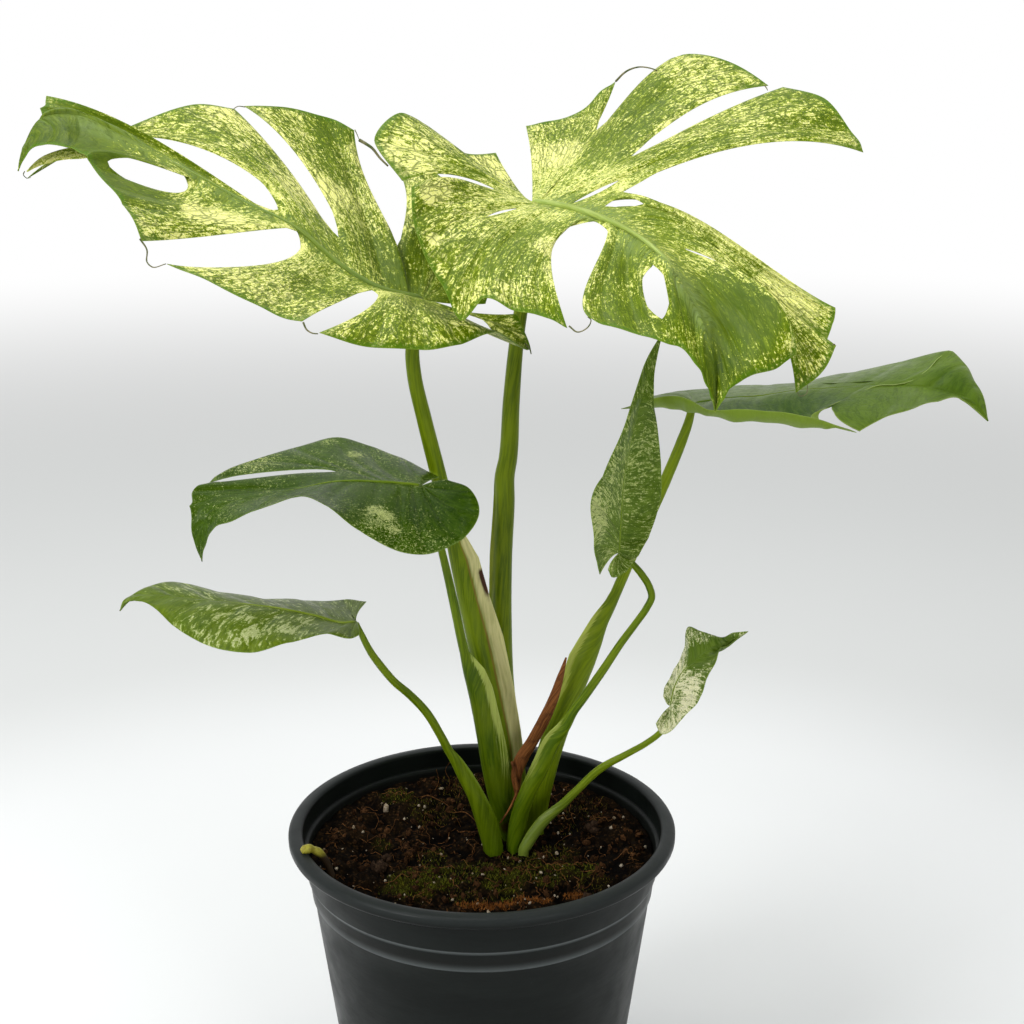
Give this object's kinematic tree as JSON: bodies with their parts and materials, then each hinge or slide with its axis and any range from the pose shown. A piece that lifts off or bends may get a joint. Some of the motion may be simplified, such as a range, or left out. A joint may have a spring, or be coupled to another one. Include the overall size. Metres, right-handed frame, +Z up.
{
  "type": "potted mint monstera",
  "caption": "Climbing aroid with split, pale-speckled leaves on long sheathed stalks, growing from mossy soil in a round charcoal nursery pot.",
  "frame": {"origin": "middle of the pot's underside, on the surface the pot stands on", "axes": "+Z up along the pot's axis; +X to the viewer's right and +Y away from the viewer in the pictured view"},
  "size_m": [0.3904, 0.2027, 0.4604],
  "materials": {
    "pot_plastic": "smooth moulded charcoal plastic, soft sheen",
    "potting_soil": "dark bark and peat mix with moss and perlite",
    "mint_blade": "green blade densely speckled pale yellow-green, satin",
    "green_blade": "deep green blade with faint streaks, satin",
    "marbled_blade": "green blade marbled with cream-grey, satin",
    "cream_blade": "cream blade with green mottling, satin",
    "leaf_stalk": "smooth green stalk with paler sheath edges",
    "dry_sheath": "papery brown dried sheath",
    "aerial_root": "smooth yellow-olive root tip"
  },
  "bodies": {
    "root": {"pot": "pot_plastic", "soil": "potting_soil", "leaf_a": "mint_blade", "leaf_b": "mint_blade", "leaf_c": "green_blade", "leaf_d": "green_blade", "leaf_e": "marbled_blade", "leaf_f": "marbled_blade", "leaf_g": "cream_blade", "stalk_a": "leaf_stalk", "stalk_b": "leaf_stalk", "stalk_c": "leaf_stalk", "stalk_d": "leaf_stalk", "stalk_e": "leaf_stalk", "stalk_f": "leaf_stalk", "stalk_g": "leaf_stalk", "dry_sheath": "dry_sheath", "root_tip": "aerial_root"}
  },
  "joints": []
}
